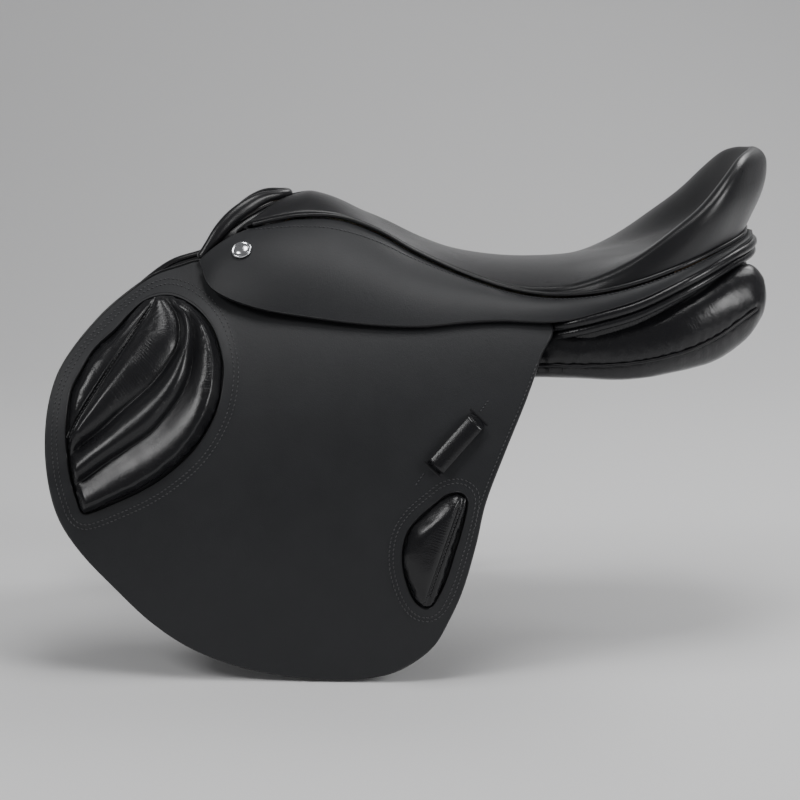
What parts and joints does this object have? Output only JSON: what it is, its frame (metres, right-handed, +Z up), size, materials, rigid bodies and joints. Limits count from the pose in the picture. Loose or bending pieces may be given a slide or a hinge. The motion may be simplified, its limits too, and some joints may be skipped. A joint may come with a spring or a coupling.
{
  "type": "english saddle",
  "caption": "Black leather jumping saddle with a deep seat, forward flaps with padded knee and thigh blocks, skirts, panels, stirrup bars and girth straps.",
  "frame": {"origin": "on the centre plane, under the deepest part of the seat, at the level where the panels bear on the horse's back", "axes": "+X to the horse's left (near) side, +Y to the cantle, -Y to the pommel, +Z up"},
  "size_m": [0.3488, 0.5612, 0.396],
  "materials": {
    "flap_leather": "matte",
    "seat_leather": "satin",
    "padded_leather": "glossy",
    "tree_wood": "varnished",
    "forged_steel": "forged",
    "polished_steel": "polished",
    "foam": "soft",
    "webbing": "woven"
  },
  "bodies": {
    "tree": {"tree_head": "tree_wood", "head_plate": "forged_steel", "gullet_plate": "forged_steel", "tree_rivets": "forged_steel", "tree_cantle": "tree_wood", "seat_cover": "seat_leather", "seat_foam": "foam", "seat_web": "webbing", "cantle_facing": "seat_leather", "rear_roll_upper": "padded_leather", "rear_roll_lower": "padded_leather", "rear_facing": "padded_leather", "pommel_roll": "seat_leather", "channel_lining": "padded_leather", "bar_rivets": "forged_steel", "tree_rail_near": "tree_wood", "tree_rail_off": "tree_wood", "tree_spring_near": "forged_steel", "tree_spring_off": "forged_steel", "welt_near": "seat_leather", "welt_off": "seat_leather", "saddle_nail_near": "polished_steel", "saddle_nail_off": "polished_steel", "sweat_flap_near": "flap_leather", "sweat_flap_off": "flap_leather", "panel_near": "padded_leather", "panel_off": "padded_leather", "girth_web_near": "webbing", "girth_web_off": "webbing", "stirrup_bar_near": "forged_steel", "stirrup_bar_off": "forged_steel", "catch_pin_near": "forged_steel", "catch_pin_off": "forged_steel", "skirt_near": "flap_leather", "skirt_off": "flap_leather", "flap_head_near": "flap_leather", "flap_head_off": "flap_leather", "dee_staple_near": "polished_steel", "dee_staple_off": "polished_steel"},
    "flap_near": {"flap_near": "flap_leather", "knee_block_near": "padded_leather", "thigh_block_near": "padded_leather", "keeper_near": "padded_leather"},
    "skirt_near": {"skirt_lobe_near": "flap_leather"},
    "catch_near": {"bar_catch_near": "forged_steel"},
    "dee_near": {"dee_ring_near": "polished_steel"},
    "strap_front_near": {"girth_strap_front_near": "flap_leather"},
    "strap_middle_near": {"girth_strap_middle_near": "flap_leather"},
    "strap_rear_near": {"girth_strap_rear_near": "flap_leather"},
    "flap_off": {"flap_off": "flap_leather", "knee_block_off": "padded_leather", "thigh_block_off": "padded_leather", "keeper_off": "padded_leather"},
    "skirt_off": {"skirt_lobe_off": "flap_leather"},
    "catch_off": {"bar_catch_off": "forged_steel"},
    "dee_off": {"dee_ring_off": "polished_steel"},
    "strap_front_off": {"girth_strap_front_off": "flap_leather"},
    "strap_middle_off": {"girth_strap_middle_off": "flap_leather"},
    "strap_rear_off": {"girth_strap_rear_off": "flap_leather"}
  },
  "joints": [
    {"name": "flap_lift_near", "type": "hinge", "parent": "tree", "child": "flap_near", "pos_m": [0.10155, -0.1295, 0.0385], "axis": [-0.1742, -0.9762, 0.1292], "range_deg": [0, 55]},
    {"name": "skirt_lift_near", "type": "hinge", "parent": "tree", "child": "skirt_near", "pos_m": [0.09793, -0.11, 0.069], "axis": [-0.1725, -0.9729, 0.154], "range_deg": [0, 50]},
    {"name": "catch_turn_near", "type": "hinge", "parent": "tree", "child": "catch_near", "pos_m": [0.0665, -0.106, 0.067], "axis": [1, 0, 0], "range_deg": [0, 45]},
    {"name": "dee_swing_near", "type": "hinge", "parent": "tree", "child": "dee_near", "pos_m": [0.06854, -0.219, 0.06815], "axis": [0, -1, 0], "range_deg": [0, 5]},
    {"name": "strap_front_swing_near", "type": "hinge", "parent": "tree", "child": "strap_front_near", "pos_m": [0.0791, -0.118, 0.046], "axis": [1, 0, 0], "range_deg": [-2, 2]},
    {"name": "strap_middle_swing_near", "type": "hinge", "parent": "tree", "child": "strap_middle_near", "pos_m": [0.08158, -0.086, 0.046], "axis": [1, 0, 0], "range_deg": [-2, 2]},
    {"name": "strap_rear_swing_near", "type": "hinge", "parent": "tree", "child": "strap_rear_near", "pos_m": [0.08405, -0.054, 0.046], "axis": [1, 0, 0], "range_deg": [-2, 2]},
    {"name": "flap_lift_off", "type": "hinge", "parent": "tree", "child": "flap_off", "pos_m": [-0.10155, -0.1295, 0.0385], "axis": [-0.1742, 0.9762, -0.1292], "range_deg": [0, 55]},
    {"name": "skirt_lift_off", "type": "hinge", "parent": "tree", "child": "skirt_off", "pos_m": [-0.09793, -0.11, 0.069], "axis": [-0.1725, 0.9729, -0.154], "range_deg": [0, 50]},
    {"name": "catch_turn_off", "type": "hinge", "parent": "tree", "child": "catch_off", "pos_m": [-0.0665, -0.106, 0.067], "axis": [1, 0, 0], "range_deg": [0, 45]},
    {"name": "dee_swing_off", "type": "hinge", "parent": "tree", "child": "dee_off", "pos_m": [-0.06854, -0.219, 0.06815], "axis": [0, 1, 0], "range_deg": [0, 5]},
    {"name": "strap_front_swing_off", "type": "hinge", "parent": "tree", "child": "strap_front_off", "pos_m": [-0.0791, -0.118, 0.046], "axis": [1, 0, 0], "range_deg": [-2, 2]},
    {"name": "strap_middle_swing_off", "type": "hinge", "parent": "tree", "child": "strap_middle_off", "pos_m": [-0.08158, -0.086, 0.046], "axis": [1, 0, 0], "range_deg": [-2, 2]},
    {"name": "strap_rear_swing_off", "type": "hinge", "parent": "tree", "child": "strap_rear_off", "pos_m": [-0.08405, -0.054, 0.046], "axis": [1, 0, 0], "range_deg": [-2, 2]}
  ],
  "couplings": [
    {"joint": "strap_middle_swing_near", "follows": "strap_front_swing_near", "ratio": 1},
    {"joint": "strap_rear_swing_near", "follows": "strap_front_swing_near", "ratio": 1},
    {"joint": "strap_middle_swing_off", "follows": "strap_front_swing_off", "ratio": 1},
    {"joint": "strap_rear_swing_off", "follows": "strap_front_swing_off", "ratio": 1}
  ]
}
